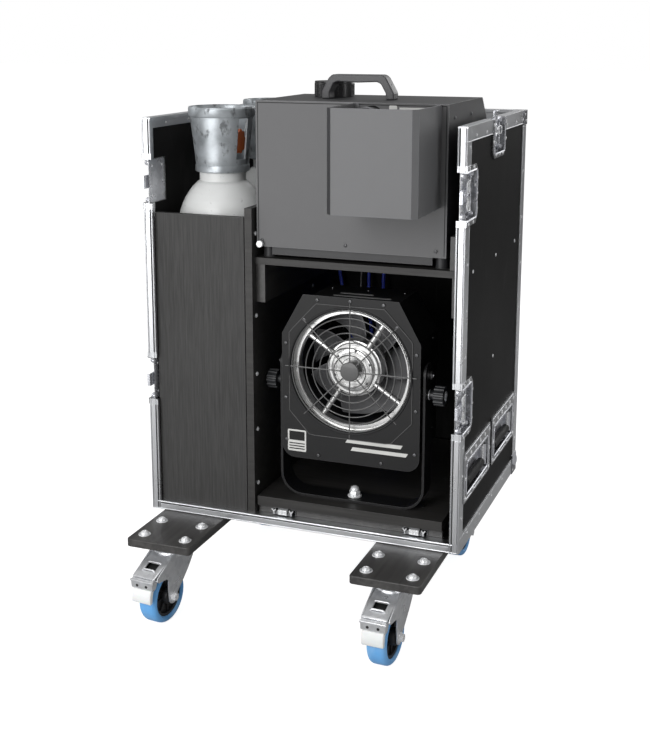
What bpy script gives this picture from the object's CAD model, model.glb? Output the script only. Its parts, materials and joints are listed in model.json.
"""Looks of the fog machine in its open touring case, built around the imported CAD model."""

import json
from math import atan2, cos, pi, radians, sin, sqrt

import bmesh
import bpy
from mathutils import Matrix, Vector


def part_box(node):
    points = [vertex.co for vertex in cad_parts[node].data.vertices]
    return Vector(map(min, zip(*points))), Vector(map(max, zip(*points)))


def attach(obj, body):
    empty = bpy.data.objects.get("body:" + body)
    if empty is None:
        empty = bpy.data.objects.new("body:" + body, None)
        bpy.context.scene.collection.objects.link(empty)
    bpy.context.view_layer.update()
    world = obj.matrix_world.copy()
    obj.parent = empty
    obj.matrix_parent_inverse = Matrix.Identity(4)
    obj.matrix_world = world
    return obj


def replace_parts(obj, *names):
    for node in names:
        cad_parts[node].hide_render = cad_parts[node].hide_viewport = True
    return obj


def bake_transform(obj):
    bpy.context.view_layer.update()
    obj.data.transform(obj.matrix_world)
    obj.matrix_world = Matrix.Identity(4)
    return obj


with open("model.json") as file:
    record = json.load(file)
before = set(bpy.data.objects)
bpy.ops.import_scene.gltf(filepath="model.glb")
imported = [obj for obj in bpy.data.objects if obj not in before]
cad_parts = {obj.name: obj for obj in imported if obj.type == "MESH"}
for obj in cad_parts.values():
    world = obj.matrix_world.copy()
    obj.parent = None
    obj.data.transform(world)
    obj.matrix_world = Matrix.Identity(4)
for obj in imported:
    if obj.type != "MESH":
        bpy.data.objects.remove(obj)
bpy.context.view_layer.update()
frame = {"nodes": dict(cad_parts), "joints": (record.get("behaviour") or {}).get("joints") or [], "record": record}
joints = {joint["name"]: joint for joint in frame["joints"]}

MM = 0.001
CASE_W, CASE_D, CASE_H = 600, 462, 741
SKIN = 1.5                      # sheet thickness of the profiles and dishes
rim_low, rim_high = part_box("edge_profiles")
CORNER = Vector((rim_low.x, rim_low.y, rim_high.z - CASE_H * MM))

X, Y, Z = Vector((1, 0, 0)), Vector((0, 1, 0)), Vector((0, 0, 1))


def at(x, y, z):
    """A point in the case's own millimetres, from its lower left front corner."""
    return CORNER + Vector((x, y, z)) * MM


def in_case(point):
    """A point of the row frame in the case's own millimetres."""
    return (Vector(point) - CORNER) / MM


def case_box(node):
    """Lowest and highest corners of a CAD node in the case's own millimetres."""
    return [in_case(corner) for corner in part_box(node)]


def joint_at(name):
    return Vector(joints[name]["pos_m"])


# ---- camera and light ----

def add_camera():
    data = bpy.data.cameras.new("camera")
    camera = bpy.data.objects.new("camera", data)
    bpy.context.scene.collection.objects.link(camera)
    bpy.context.scene.camera = camera
    data.sensor_width = 36
    data.lens = 58.27
    data.shift_y = -0.1267
    yaw, pitch = radians(20.885), radians(11.67)
    camera.location = at(1086.5, -1925, 895.5)
    look = Vector((-sin(yaw) * cos(pitch), cos(yaw) * cos(pitch), -sin(pitch)))
    camera.rotation_euler = look.to_track_quat("-Z", "Y").to_euler()


def area_light(name, place, target, size, power, colour=(1, 1, 1)):
    data = bpy.data.lights.new(name, "AREA")
    data.shape = "RECTANGLE"
    data.size, data.size_y = size
    data.energy = power
    data.color = colour
    light = bpy.data.objects.new(name, data)
    light.location = place
    light.rotation_euler = (Vector(target) - Vector(place)).to_track_quat("-Z", "Y").to_euler()
    bpy.context.scene.collection.objects.link(light)


def seen_by_camera(tree):
    """1 for what the camera sees directly and 0 for light and reflections."""
    return tree.nodes.new("ShaderNodeLightPath").outputs["Is Camera Ray"]


def add_studio():
    scene = bpy.context.scene
    scene.view_settings.view_transform = "Standard"
    world = bpy.data.worlds.new("studio")
    scene.world = world
    world.use_nodes = True
    tree = world.node_tree
    background = tree.nodes["Background"]
    background.inputs["Color"].default_value = (1, 1, 1, 1)
    strength = tree.nodes.new("ShaderNodeMapRange")
    strength.inputs["To Min"].default_value = 0.3
    strength.inputs["To Max"].default_value = 1.0
    tree.links.new(seen_by_camera(tree), strength.inputs["Value"])
    tree.links.new(strength.outputs["Result"], background.inputs["Strength"])
    middle = (0, 0, 0.5)
    area_light("key", (-0.5, -3.1, 1.9), middle, (1.8, 1.8), 46)
    area_light("card", (-1.05, -2.75, 0.5), (-1.05, 0, 0.5), (2.3, 1.0), 26)
    area_light("left", (-3.0, -0.9, 1.6), middle, (1.4, 1.8), 12)
    area_light("top", (-0.4, 0.2, 2.9), middle, (2.2, 1.8), 18)
    area_light("side", (3.2, -0.2, 0.9), (0, 0, 0.6), (0.4, 2.2), 15)
    area_light("rear", (0.8, 2.9, 1.6), middle, (2.0, 1.4), 18)
    floor = bpy.data.meshes.new("floor")
    size, drop = 30, 0.0004
    floor.from_pydata([(x, y, -drop) for x, y in rectangle(-size, -size, size, size)], [], [(0, 1, 2, 3)])
    floor_object = bpy.data.objects.new("floor", floor)
    scene.collection.objects.link(floor_object)
    paper = Surface("floor_paper", 0.95, Specular_IOR_Level=0.0, Emission_Color=(1, 1, 1))
    paper.colour((0.45, 0.45, 0.45))
    glow = paper.span(seen_by_camera(paper.tree), 0.0, 1.0, 0.0, 0.9)
    paper.feed(paper.shader, {"Emission Strength": glow})
    floor.materials.append(paper.material)


# ---- materials ----

class Surface:
    """A procedural material built step by step around one Principled shader."""

    def __init__(self, name, roughness, metallic=0.0, **sockets):
        self.material = bpy.data.materials.new(name)
        self.material.use_nodes = True
        self.tree = self.material.node_tree
        self.shader = self.tree.nodes["Principled BSDF"]
        self.feed(self.shader, {"Roughness": roughness, "Metallic": metallic})
        self.feed(self.shader, {key.replace("_", " "): value for key, value in sockets.items()})
        self.normal = None
        self.place = None

    def feed(self, node, sockets):
        """Gives each input named in sockets a number, a colour of three numbers or another node's output."""
        for key, value in sockets.items():
            socket = node.inputs[key]
            if isinstance(value, bpy.types.NodeSocket):
                self.tree.links.new(value, socket)
            elif socket.type == "RGBA":
                socket.default_value = (*value, 1)
            else:
                socket.default_value = value

    def add(self, kind, sockets, **settings):
        """Adds a shader node and returns its outputs."""
        node = self.tree.nodes.new("ShaderNode" + kind)
        for key, value in settings.items():
            setattr(node, key, value)
        self.feed(node, sockets)
        return node.outputs

    def coordinates(self, stretch=(1, 1, 1)):
        if self.place is None:
            self.place = self.add("TexCoord", {})["Object"]
        return self.add("Mapping", {"Scale": stretch, "Vector": self.place})["Vector"]

    def noise(self, scale, detail=4, stretch=(1, 1, 1), distortion=0.0):
        return self.add("TexNoise", {"Scale": scale, "Detail": detail, "Distortion": distortion,
                                     "Vector": self.coordinates(stretch)})["Fac"]

    def cells(self, scale, output="Distance"):
        return self.add("TexVoronoi", {"Scale": scale, "Vector": self.coordinates()})[output]

    def waves(self, scale, direction):
        sockets = {"Scale": scale, "Vector": self.coordinates()}
        return self.add("TexWave", sockets, bands_direction=direction)["Fac"]

    def span(self, value, low, high, to_low=0.0, to_high=1.0):
        """Maps low..high of a value to to_low..to_high, held at both ends."""
        return self.add("MapRange", {"Value": value, "From Min": low, "From Max": high,
                                     "To Min": to_low, "To Max": to_high})["Result"]

    def times(self, a, b):
        return self.add("Math", {0: a, 1: b}, operation="MULTIPLY")["Value"]

    def blend(self, share, a, b):
        """Colour a where share is 0 and b where it is 1."""
        return self.add("Mix", {0: share, 6: a, 7: b}, data_type="RGBA")[2]

    def colour(self, value):
        self.feed(self.shader, {"Base Color": value})

    def roughness(self, value):
        self.feed(self.shader, {"Roughness": value})

    def bevelled(self, radius):
        return self.add("Bevel", {"Radius": radius}, samples=4)["Normal"]

    def worn_edge(self, radius):
        """1 along convex edges and 0 on flat faces, from the bevel's normal against the face's own."""
        own = self.add("NewGeometry", {})["Normal"]
        dot = self.add("VectorMath", {0: self.bevelled(radius), 1: own}, operation="DOT_PRODUCT")["Value"]
        return self.span(dot, 1.0, 0.93)

    def shade_by(self, normal):
        self.normal = normal
        self.feed(self.shader, {"Normal": normal})
        return self

    def rounded(self, radius):
        """Shades sharp CAD edges as if they were rounded."""
        return self.shade_by(self.bevelled(radius))

    def bump(self, height, strength, depth):
        sockets = {"Height": height, "Strength": strength, "Distance": depth}
        if self.normal is not None:
            sockets["Normal"] = self.normal
        return self.shade_by(self.add("Bump", sockets)["Normal"])


def board_material(name, dark, light, grain, roughness, edge, axis):
    """Black-stained or painted board: fine long grain along one axis, dust, and slightly worn edges."""
    stretch = [1.0, 1.0, 1.0]
    stretch[axis] = 0.045
    s = Surface(name, roughness)
    fibres = s.noise(grain, 6, tuple(stretch), 0.4)
    clouds = s.noise(5, 3)
    share = s.times(s.span(fibres, 0.35, 0.72), s.span(clouds, 0.2, 0.75, 0.45, 1.0))
    s.colour(s.blend(s.worn_edge(0.0012), s.blend(share, dark, light), edge))
    s.roughness(s.span(clouds, 0.3, 0.7, roughness - 0.07, roughness + 0.08))
    s.rounded(0.0008).bump(fibres, 0.25, 0.0004)
    return s.material


def laminate_material():
    """Black phenolic face of touring-case plywood: fine pebble, faint scuffs."""
    s = Surface("case_laminate", 0.5, Specular_IOR_Level=0.07)
    scuffs = s.span(s.noise(14, 8, (1, 1, 0.25), 1.5), 0.62, 0.8)
    clouds = s.noise(3, 3)
    base = s.blend(s.span(clouds, 0.3, 0.7), (0.0062, 0.0061, 0.0062), (0.0098, 0.0095, 0.0096))
    s.colour(s.blend(s.times(scuffs, 0.35), base, (0.05, 0.05, 0.05)))
    s.roughness(s.span(clouds, 0.2, 0.8, 0.44, 0.6))
    s.rounded(0.0006).bump(s.cells(900), 0.12, 0.00015)
    return s.material


def aluminium_material():
    """Satin extrusion: drawn lines along its length, light scratches and dull patches."""
    s = Surface("case_profile", 0.3, 1.0)
    lines = s.noise(420, 3, (1, 1, 0.02))
    clouds = s.noise(9, 4)
    s.colour(s.blend(s.span(clouds, 0.3, 0.75), (0.8, 0.81, 0.83), (0.62, 0.63, 0.65)))
    s.roughness(s.span(clouds, 0.25, 0.75, 0.24, 0.4))
    s.rounded(0.0005).bump(lines, 0.06, 0.0001)
    return s.material


def zinc_material(name, light, dark, roughness, spangle, tint, metallic):
    """Zinc-plated or galvanised pressed steel: patches of slightly different grey, small ripples."""
    s = Surface(name, roughness, metallic)
    patches = s.add("RGBToBW", {"Color": s.cells(spangle, "Color")})["Val"]
    clouds = s.noise(30, 5, distortion=0.6)
    stained = s.times(s.span(patches, 0.0, 1.0, 0.1, 0.7), s.span(clouds, 0.25, 0.7, 0.5, 1.2))
    bright = (light, light * 1.01, light * 1.03 * tint)
    s.colour(s.blend(stained, bright, (dark, dark * 1.02, dark * 1.06 * tint)))
    s.roughness(s.span(clouds, 0.25, 0.75, roughness - 0.06, roughness + 0.16))
    s.rounded(0.0007).bump(clouds, 0.12, 0.0008)
    return s.material


def powder_material(name, colour, roughness, scale, edge, specular):
    """Powder-coated sheet: orange peel, fine dust, a touch lighter along its edges."""
    s = Surface(name, roughness, Specular_IOR_Level=specular)
    clouds = s.noise(6, 4)
    lifted = tuple(1.22 * c + 0.004 for c in colour)
    base = s.blend(s.span(clouds, 0.3, 0.75), colour, lifted)
    s.colour(s.blend(s.worn_edge(0.0011), base, edge))
    s.roughness(s.span(clouds, 0.25, 0.75, roughness - 0.05, roughness + 0.08))
    s.rounded(0.0007).bump(s.noise(scale, 2), 0.16, 0.0002)
    return s.material


def plastic_material(name, colour, roughness, grain, strength, **sockets):
    """Moulded plastic with a fine spark texture and faint dust."""
    s = Surface(name, roughness, **sockets)
    clouds = s.noise(18, 4)
    lifted = tuple(min(1.0, 1.25 * c + 0.006) for c in colour)
    s.colour(s.blend(s.span(clouds, 0.3, 0.75), colour, lifted))
    s.roughness(s.span(clouds, 0.25, 0.75, roughness - 0.05, roughness + 0.09))
    s.rounded(0.0006).bump(s.noise(grain, 2), strength, 0.0002)
    return s.material


def rubber_material(name, colour, dust):
    """Elastic rubber tread: dusty streaks and a faint mould texture."""
    s = Surface(name, 0.5, Sheen_Weight=0.15)
    streaks = s.noise(26, 6, (1, 1, 0.35), 0.5)
    share = s.times(s.span(streaks, 0.48, 0.75), 0.55)
    s.colour(s.blend(share, colour, dust))
    s.roughness(s.span(streaks, 0.3, 0.7, 0.42, 0.65))
    s.rounded(0.001).bump(s.noise(700, 3), 0.12, 0.0002)
    return s.material


def brushed_material(name, light, dark, roughness, metallic):
    """Turned or brushed bright metal with fine marks."""
    s = Surface(name, roughness, metallic)
    marks = s.noise(260, 4)
    clouds = s.noise(22, 4)
    s.colour(s.blend(s.span(clouds, 0.3, 0.75), light, dark))
    s.roughness(s.span(marks, 0.2, 0.8, roughness - 0.05, roughness + 0.1))
    s.rounded(0.0006).bump(marks, 0.05, 0.0001)
    return s.material


def enamel_material():
    """Light grey cylinder enamel with rubbed patches and dirt low on the shoulder."""
    s = Surface("cylinder_paint", 0.34, Coat_Weight=0.25, Coat_Roughness=0.2)
    clouds = s.noise(7, 6, distortion=0.4)
    specks = s.span(s.noise(120, 5), 0.66, 0.74)
    base = s.blend(s.span(clouds, 0.35, 0.7), (0.8, 0.81, 0.805), (0.69, 0.7, 0.69))
    s.colour(s.blend(s.times(specks, 0.5), base, (0.24, 0.23, 0.22)))
    s.roughness(s.span(clouds, 0.3, 0.7, 0.28, 0.46))
    s.bump(s.noise(45, 3), 0.08, 0.0006)
    return s.material


def guard_material():
    """Cast guard with dull zinc, rubbed marks and dark grime in patches."""
    s = Surface("guard_metal", 0.42, 0.55)
    patches = s.span(s.noise(24, 8, distortion=0.5), 0.36, 0.66)
    grime = s.span(s.noise(62, 9, (1, 1, 0.7)), 0.57, 0.66)
    base = s.blend(patches, (0.6, 0.64, 0.67), (0.34, 0.365, 0.385))
    s.colour(s.blend(s.times(grime, 0.8), base, (0.13, 0.135, 0.14)))
    s.roughness(s.span(grime, 0.0, 1.0, 0.34, 0.62))
    s.rounded(0.0008).bump(patches, 0.3, 0.0008)
    return s.material


def paper_material():
    """Paper tag with plain grey rules across it."""
    s = Surface("tag_paper", 0.8)
    rules = s.span(s.waves(150, "Z"), 0.72, 0.86)
    s.colour(s.blend(s.times(rules, 0.55), (0.86, 0.86, 0.83), (0.3, 0.31, 0.33)))
    s.bump(s.noise(60, 4), 0.2, 0.0004)
    return s.material


# name: dark colour, light colour, grain scale, roughness, edge colour, grain axis
BOARDS = {
    "inner_board": ((0.02, 0.019, 0.018), (0.044, 0.042, 0.04), 150, 0.5, (0.05, 0.05, 0.05), 0),
    "bay_panel": ((0.025, 0.0245, 0.024), (0.052, 0.051, 0.05), 420, 0.55, (0.1, 0.1, 0.1), 2),
    "painted_wood": ((0.036, 0.0345, 0.034), (0.075, 0.073, 0.07), 120, 0.36, (0.09, 0.088, 0.085), 1),
}
# name: light grey, dark grey, roughness, scale of the patches, blue tint, metallic
ZINCS = {
    "corner_steel": (0.42, 0.18, 0.22, 60, 1.05, 1.0),
    "dish_steel": (0.46, 0.2, 0.22, 110, 1.0, 1.0),
    "pressed_zinc": (0.86, 0.5, 0.24, 90, 1.03, 0.72),
    "latch_steel": (0.92, 0.58, 0.16, 90, 1.04, 0.78),
    "runner_steel": (0.2, 0.1, 0.4, 200, 1.0, 1.0),
    "castor_zinc": (0.82, 0.56, 0.28, 120, 1.0, 0.72),
}
# name: light colour, dark colour, roughness, metallic
BRUSHED = {
    "motor_metal": ((0.84, 0.84, 0.83), (0.72, 0.72, 0.72), 0.3, 1.0),
    "duct_metal": ((0.66, 0.66, 0.65), (0.5, 0.5, 0.5), 0.26, 1.0),
    "heater_metal": ((0.3, 0.3, 0.3), (0.16, 0.16, 0.17), 0.45, 1.0),
    "valve_brass": ((0.5, 0.47, 0.4), (0.3, 0.28, 0.24), 0.32, 1.0),
    "bright_zinc": ((0.96, 0.97, 0.98), (0.86, 0.87, 0.89), 0.24, 0.35),
    "dark_steel": ((0.2, 0.2, 0.21), (0.1, 0.1, 0.1), 0.34, 1.0),
}
# name: colour, roughness, scale of the orange peel, edge colour, specular level
POWDERS = {
    "fan_body_paint": ((0.0075, 0.0075, 0.008), 0.44, 1500, (0.075, 0.075, 0.078), 0.34),
    "generator_paint": ((0.026, 0.026, 0.028), 0.44, 1500, (0.16, 0.16, 0.165), 0.5),
    "generator_panel": ((0.112, 0.112, 0.115), 0.5, 700, (0.3, 0.3, 0.31), 0.5),
    "chute_paint": ((0.128, 0.129, 0.133), 0.44, 900, (0.22, 0.22, 0.24), 0.5),
}
# name: colour, roughness, scale and strength of the grain
PLASTICS = {
    "castor_hub": ((0.016, 0.016, 0.017), 0.42, 900, 0.08),
    "grip_rubber": ((0.012, 0.012, 0.013), 0.55, 500, 0.2),
    "impeller_plastic": ((0.13, 0.13, 0.135), 0.4, 900, 0.08),
    "knob_plastic": ((0.014, 0.015, 0.017), 0.38, 900, 0.08),
    "cap_plastic": ((0.008, 0.008, 0.009), 0.24, 900, 0.08),
    "handle_plastic": ((0.055, 0.055, 0.058), 0.38, 1300, 0.2),
    "handwheel_plastic": ((0.56, 0.12, 0.018), 0.4, 900, 0.08),
    "lead_jacket": ((0.03, 0.06, 0.5), 0.35, 900, 0.08),
    "grey_jacket": ((0.3, 0.3, 0.3), 0.4, 900, 0.08),
    "void_black": ((0.004, 0.004, 0.004), 0.7, 900, 0.08),
    "pale_print": ((0.62, 0.62, 0.6), 0.5, 900, 0.08),
    "grey_print": ((0.2, 0.2, 0.2), 0.5, 900, 0.08),
}


def make_materials():
    made = {
        "case_laminate": laminate_material(),
        "case_profile": aluminium_material(),
        "cylinder_paint": enamel_material(),
        "guard_metal": guard_material(),
        "paper": paper_material(),
        "blue_tread": rubber_material("blue_tread", (0.15, 0.46, 0.9), (0.46, 0.66, 0.88)),
        "pedal_plastic": plastic_material("pedal_plastic", (0.88, 0.88, 0.86), 0.36, 900, 0.08,
                                          Subsurface_Weight=0.08),
        "tank_plastic": plastic_material("tank_plastic", (0.75, 0.74, 0.66), 0.4, 900, 0.08,
                                         Subsurface_Weight=0.2),
        "fan_wire": plastic_material("fan_wire", (0.09, 0.09, 0.09), 0.4, 900, 0.08, Coat_Weight=0.3),
    }
    for function, table in ((board_material, BOARDS), (zinc_material, ZINCS), (brushed_material, BRUSHED),
                            (powder_material, POWDERS), (plastic_material, PLASTICS)):
        for name, values in table.items():
            made[name] = function(name, *values)
    return made


def paint_frame():
    """Gives every carried-over CAD node its slot's material, or the one named here."""
    special = {"cylinder_bay_panel": "bay_panel", "signal_leads": "lead_jacket"}
    for part in frame["record"]["subparts"]:
        name = special.get(part["node"], part["material_slot"])
        node = frame["nodes"][part["node"]]
        node.data.materials.clear()
        node.data.materials.append(materials[name])


# ---- mesh building ----

def rectangle(x0, y0, x1, y1):
    return [(x0, y0), (x1, y0), (x1, y1), (x0, y1)]


def disc(radius, low, high):
    """Profile of a plain cylinder for lathe."""
    return [(0, low), (radius, low), (radius, high), (0, high)]


def bridge(bm, rows, closed=True):
    """Adds quads between rows of vertices. closed also joins each row's last vertex to its first."""
    for a, b in zip(rows, rows[1:]):
        for i in range(len(a) if closed else len(a) - 1):
            j = (i + 1) % len(a)
            bm.faces.new((a[i], a[j], b[j], b[i]))


def thicken(piece, thickness, edge):
    """Gives a sheet of faces its thickness and eased edges, in millimetres."""
    solid = piece.modifiers.new("sheet", "SOLIDIFY")
    solid.thickness = thickness * MM
    solid.offset = 0
    bevel = piece.modifiers.new("edge", "BEVEL")
    bevel.width = edge * MM
    bevel.segments = 2


def new_piece(name, bm, material, body, bevel=0.0, smooth=40, segments=2):
    """Turns a bmesh in the row frame into a finished piece that rides on a body."""
    bmesh.ops.recalc_face_normals(bm, faces=bm.faces)
    limit = radians(smooth)
    for face in bm.faces:
        face.smooth = True
    for edge in bm.edges:
        edge.smooth = len(edge.link_faces) != 2 or edge.calc_face_angle(0) < limit
    mesh = bpy.data.meshes.new(name)
    bm.to_mesh(mesh)
    bm.free()
    piece = bpy.data.objects.new(name, mesh)
    bpy.context.scene.collection.objects.link(piece)
    mesh.materials.append(materials[material])
    if bevel:
        modifier = piece.modifiers.new("bevel", "BEVEL")
        modifier.width = bevel * MM
        modifier.segments = segments
        modifier.limit_method = "ANGLE"
        modifier.angle_limit = limit
        modifier.harden_normals = True
    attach(piece, body)
    return piece


def lathe(bm, profile, centre, axis, steps=32):
    """Adds a solid of revolution from (radius, height) points in millimetres. It may close on itself."""
    turn = Z.rotation_difference(Vector(axis)).to_matrix()
    centre = Vector(centre)
    closed = profile[0] == profile[-1]
    rings = []
    for radius, height in profile[:-1] if closed else profile:
        if radius == 0:
            rings.append([bm.verts.new(centre + turn @ Vector((0, 0, height * MM)))])
            continue
        ring = []
        for i in range(steps):
            a = 2 * pi * i / steps
            point = Vector((radius * cos(a), radius * sin(a), height)) * MM
            ring.append(bm.verts.new(centre + turn @ point))
        rings.append(ring)
    pairs = list(zip(rings, rings[1:])) + ([(rings[-1], rings[0])] if closed else [])
    for low, high in pairs:
        if len(low) == len(high) == 1:
            continue
        for i in range(steps):
            j = (i + 1) % steps
            corners = [low[i % len(low)], low[j % len(low)], high[j % len(high)], high[i % len(high)]]
            bm.faces.new(list(dict.fromkeys(corners)))


def prism(bm, outline, thickness, place):
    """Adds an extruded outline. outline is in millimetres in the place matrix's x-y plane."""
    low = [bm.verts.new(place @ (Vector((x, y, 0)) * MM)) for x, y in outline]
    high = [bm.verts.new(place @ (Vector((x, y, thickness)) * MM)) for x, y in outline]
    bm.faces.new(low)
    bm.faces.new(high[::-1])
    count = len(outline)
    for i in range(count):
        j = (i + 1) % count
        bm.faces.new((low[i], high[i], high[j], low[j]))


def plate_with_hole(bm, outer, inner, thickness, place):
    """Adds a flat ring between two outlines with the same number of points."""
    loops = []
    for outline, z in ((outer, 0), (outer, thickness), (inner, thickness), (inner, 0)):
        loops.append([bm.verts.new(place @ (Vector((x, y, z)) * MM)) for x, y in outline])
    bridge(bm, loops + loops[:1])


def block(bm, low, high, place=Matrix()):
    """Adds a box between two corners given in millimetres."""
    lift = Matrix.Translation((0, 0, low[2] * MM))
    prism(bm, rectangle(low[0], low[1], high[0], high[1]), high[2] - low[2], place @ lift)


def tube(bm, points, radius, sides=10, closed=False):
    """Adds a round tube of one radius, in millimetres, along points of the row frame."""
    count = len(points)
    points = [Vector(p) for p in points]
    tangents = []
    for i in range(count):
        before = points[i - 1] if i or closed else points[i]
        after = points[(i + 1) % count] if i < count - 1 or closed else points[i]
        tangents.append((after - before).normalized())
    side = tangents[0].orthogonal().normalized()
    rings = []
    for point, tangent in zip(points, tangents):
        side = (side - tangent * side.dot(tangent)).normalized()
        other = tangent.cross(side)
        ring = []
        for k in range(sides):
            a = 2 * pi * k / sides
            ring.append(bm.verts.new(point + (side * cos(a) + other * sin(a)) * radius * MM))
        rings.append(ring)
    bridge(bm, rings)
    if closed:
        first, last = rings[0], rings[-1]
        nearest = min(range(sides), key=lambda k: (first[k].co - last[0].co).length)
        for k in range(sides):
            a, b = (nearest + k) % sides, (nearest + k + 1) % sides
            bm.faces.new((last[k], last[(k + 1) % sides], first[b], first[a]))
    else:
        bm.faces.new(rings[0][::-1])
        bm.faces.new(rings[-1])


def arc(centre, radius, start, end, count=8):
    """Points of a circular arc in a plane, angles in degrees."""
    angles = [radians(start + (end - start) * i / count) for i in range(count + 1)]
    return [(centre[0] + radius * cos(a), centre[1] + radius * sin(a)) for a in angles]


def rounded_path(points, radius, count=5):
    """Rounds the corners of an open path of 3-D points, all in millimetres."""
    points = [Vector(p) for p in points]
    path = [points[0]]
    for before, corner, after in zip(points, points[1:], points[2:]):
        reach = min(radius, 0.48 * (before - corner).length, 0.48 * (after - corner).length)
        start = corner + (before - corner).normalized() * reach
        end = corner + (after - corner).normalized() * reach
        for i in range(count + 1):
            t = i / count
            path.append(start.lerp(corner, t).lerp(corner.lerp(end, t), t))
    path.append(points[-1])
    return path


def rounded_rectangle(x0, y0, x1, y1, radius, count=5):
    left, right, low, high = x0 + radius, x1 - radius, y0 + radius, y1 - radius
    centres = [(right, low), (right, high), (left, high), (left, low)]
    return [point for k, centre in enumerate(centres)
            for point in arc(centre, radius, 90 * k - 90, 90 * k, count)]


def smooth_route(points, steps):
    """Points along a smooth curve through the given ones."""
    points = [Vector(p) for p in points]
    route = []
    for i in range(len(points) - 1):
        a, b, c, d = points[max(i - 1, 0)], points[i], points[i + 1], points[min(i + 2, len(points) - 1)]
        for k in range(steps):
            t = k / steps
            route.append(0.5 * (2 * b + (c - a) * t + (2 * a - 5 * b + 4 * c - d) * t ** 2
                                + (3 * b - a - 3 * c + d) * t ** 3))
    route.append(points[-1])
    return route


def facing(origin, x_axis, y_axis):
    """A matrix whose x-y plane is the given one, with its origin at a point of the row frame."""
    x_axis, y_axis = Vector(x_axis).normalized(), Vector(y_axis).normalized()
    z_axis = x_axis.cross(y_axis)
    return Matrix.Translation(origin) @ Matrix((x_axis, y_axis, z_axis)).transposed().to_4x4()


def rivet(bm, place, direction, radius=3.4, height=1.5):
    lathe(bm, [(0, -0.3), (radius, -0.3), (radius, 0.25 * height), (0.86 * radius, 0.66 * height),
               (0.5 * radius, 0.93 * height), (0, height)], place, direction, 14)


def pan_screw(bm, place, direction, radius=3.2, height=1.9):
    """Pan head with a recess in its middle."""
    lathe(bm, [(0, -0.3), (radius, -0.3), (radius, 0.5 * height), (0.8 * radius, 0.9 * height),
               (0.42 * radius, height), (0.3 * radius, 0.45 * height), (0, 0.4 * height)],
          place, direction, 16)


def hexagon(bm, place, direction, across, height):
    """Hexagon nut or head with a chamfered top."""
    radius = across / sqrt(3)
    lathe(bm, [(0, 0), (radius, 0), (radius, 0.84 * height), (0.9 * radius, height), (0, height)],
          place, direction, 6)


# ---- case ----

RUNNER_XS = (264, 516)          # middles of the two telescopic runners


def on_side(side, x, y, z):
    """Mirrors a point given for the right-hand side to the left."""
    return at(x if side > 0 else CASE_W - x, y, z)


def add_case_rivets():
    bm = bmesh.new()
    for side in (-1, 1):
        out = X * side
        for z in (60, 138, 190, 350, 430, 510, 706):
            rivet(bm, on_side(side, CASE_W, 17, z), out, 3.0, 1.2)
        for z in range(70, 720, 92):
            rivet(bm, on_side(side, CASE_W, CASE_D - 16, z), out, 3.0, 1.2)
            rivet(bm, on_side(side, CASE_W - 16, CASE_D, z), Y, 3.0, 1.2)
        for y in (60, 130, 290, 370, 430):
            rivet(bm, on_side(side, CASE_W, y, CASE_H - 18), out, 3.0, 1.2)
        for y in (60, 150, 250, 340):
            rivet(bm, on_side(side, CASE_W, y, 17), out, 3.0, 1.2)
        for z in (45, 150, 330, 410, 490, 560, 700):
            rivet(bm, on_side(side, CASE_W - 12, 15, z), -out, 2.6, 1.1)
        for y in (70, 160, 330, 410):
            rivet(bm, on_side(side, CASE_W - 12, y, CASE_H - 13), -out, 2.6, 1.1)
        for y, z in ((60, 491), (230, 491), (390, 491), (60, 640), (230, 300)):
            pan_screw(bm, on_side(side, CASE_W - SKIN, y, z), out, 3.2, 1.6)
    for x in range(60, 560, 80):
        rivet(bm, at(x, CASE_D, CASE_H - 18), Y, 3.0, 1.2)
        rivet(bm, at(x, CASE_D, 17), Y, 3.0, 1.2)
    new_piece("case_rivets", bm, "bright_zinc", "root")


def add_profile_ribs():
    """Drawn beads along the extrusions, and the flat band between two grooves on their front faces."""
    bm = bmesh.new()
    bands = bmesh.new()
    grooves = bmesh.new()
    beads = ((1.4, 1.5), (15.2, 1.8))                       # distance from the edge, and radius
    spans = [(2, 206), (308, 575), (677, CASE_H - 3)]       # heights clear of the latches
    for side in (-1, 1):
        for low, high in spans:
            for inset, size in beads:
                tube(bm, [on_side(side, CASE_W - inset, size - 1, z) for z in (low, high)], size, 10)
            for made, inset, half, rise in ((bands, 7.6, 4.2, 0.9), (grooves, 12.6, 0.75, 0.15)):
                prism(made, rectangle(-half, 0, half, high - low), rise,
                      facing(on_side(side, CASE_W - inset, 0, low), X, Z))
            tube(bm, [on_side(side, CASE_W - 0.5, 25, z) for z in (low, high)], 0.9, 8)
        tube(bm, [on_side(side, CASE_W - 0.5, y, CASE_H - 25) for y in (2, 174)], 0.9, 8)
        tube(bm, [on_side(side, CASE_W - 0.5, y, CASE_H - 25) for y in (277, CASE_D - 2)], 0.9, 8)
        tube(bm, [on_side(side, CASE_W - 0.5, y, 25) for y in (2, CASE_D - 2)], 0.9, 8)
        tube(bm, [on_side(side, CASE_W - 0.5, CASE_D - 25, z) for z in (4, CASE_H - 4)], 0.9, 8)
    for z, size in beads:
        tube(bm, [at(x, size - 1, z) for x in (3, CASE_W - 3)], size, 10)
    for made, low, high, rise in ((bands, 3.4, 11.8, 0.9), (grooves, 11.85, 13.35, 0.15)):
        prism(made, rectangle(18, low, CASE_W - 18, high), rise, facing(at(0, 0, 0), X, Z))
    new_piece("profile_beads", bm, "case_profile", "root")
    new_piece("profile_grooves", grooves, "void_black", "root")
    new_piece("profile_bands", bands, "case_profile", "root", bevel=0.35)


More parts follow.
